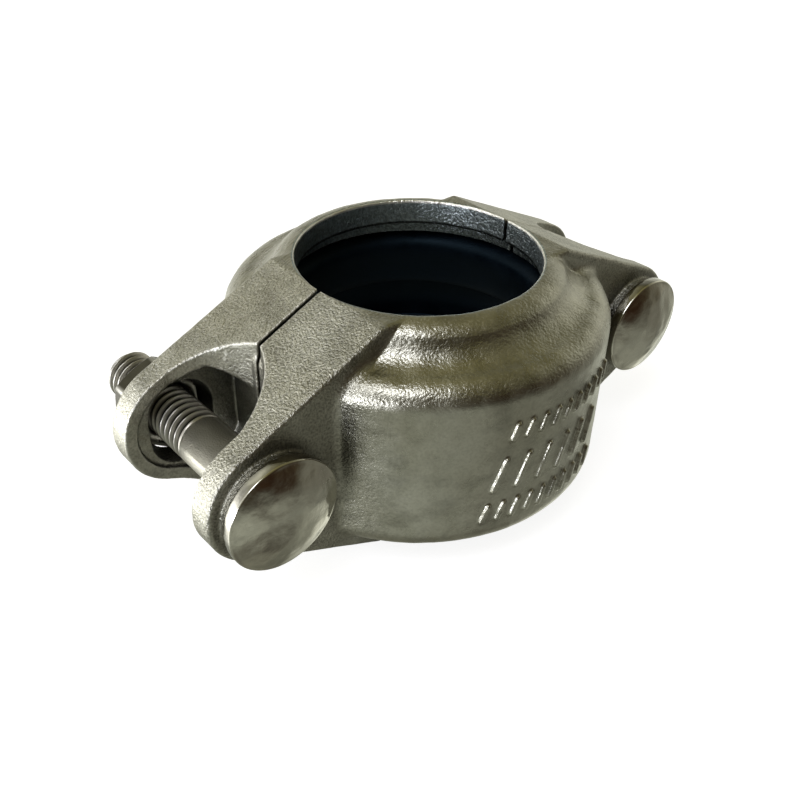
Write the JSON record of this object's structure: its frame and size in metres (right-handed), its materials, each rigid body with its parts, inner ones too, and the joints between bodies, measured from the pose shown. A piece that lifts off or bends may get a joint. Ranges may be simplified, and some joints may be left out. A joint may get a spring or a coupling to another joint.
{
  "type": "grooved pipe coupling",
  "caption": "Cast stainless steel grooved pipe coupling: split round housing with bolt ears, oval-neck bolts, nuts and a rubber sealing ring.",
  "frame": {"origin": "centre of the lower pipe opening, on the lower rim face", "axes": "+Z along the pipe, X along the split line between the two bolts, -Y towards the bolt heads"},
  "size_m": [0.1146, 0.073, 0.047],
  "materials": {
    "front_housing": "bead-blasted cast stainless steel",
    "rear_housing": "bead-blasted cast stainless steel",
    "bolts": "smooth forged stainless steel",
    "nuts": "satin stainless steel",
    "gasket": "moulded black rubber"
  },
  "bodies": {
    "rear_half": {"rear_housing": "rear_housing"},
    "front_half": {"front_housing": "front_housing"},
    "left_bolt": {"left_bolt": "bolts"},
    "right_bolt": {"right_bolt": "bolts"},
    "left_nut": {"left_nut": "nuts"},
    "right_nut": {"right_nut": "nuts"},
    "seal": {"gasket": "gasket"}
  },
  "joints": [
    {"name": "housing_open", "type": "slide", "parent": "rear_half", "child": "front_half", "axis": [0, -1, 0], "range_m": [0, 0.0075]},
    {"name": "left_bolt_slide", "type": "slide", "parent": "rear_half", "child": "left_bolt", "axis": [0, -1, 0], "range_m": [0, 0.0075]},
    {"name": "right_bolt_slide", "type": "slide", "parent": "rear_half", "child": "right_bolt", "axis": [0, -1, 0], "range_m": [0, 0.0075]},
    {"name": "left_nut_spin", "type": "hinge", "parent": "rear_half", "child": "left_nut", "pos_m": [-0.0458, 0.0183, 0.0235], "axis": [0, 1, 0], "range_deg": [0, 1702]},
    {"name": "right_nut_spin", "type": "hinge", "parent": "rear_half", "child": "right_nut", "pos_m": [0.0458, 0.0183, 0.0235], "axis": [0, 1, 0], "range_deg": [0, 1702]},
    {"name": "gasket_shift", "type": "slide", "parent": "rear_half", "child": "seal", "axis": [0, -1, 0], "range_m": [0, 0.00375]}
  ],
  "couplings": [
    {"joint": "left_bolt_slide", "follows": "housing_open", "ratio": 1},
    {"joint": "right_bolt_slide", "follows": "housing_open", "ratio": 1},
    {"joint": "left_nut_spin", "follows": "housing_open", "rad_per_m": 3957.9},
    {"joint": "right_nut_spin", "follows": "housing_open", "rad_per_m": 3957.9},
    {"joint": "gasket_shift", "follows": "housing_open", "ratio": 0.5}
  ]
}
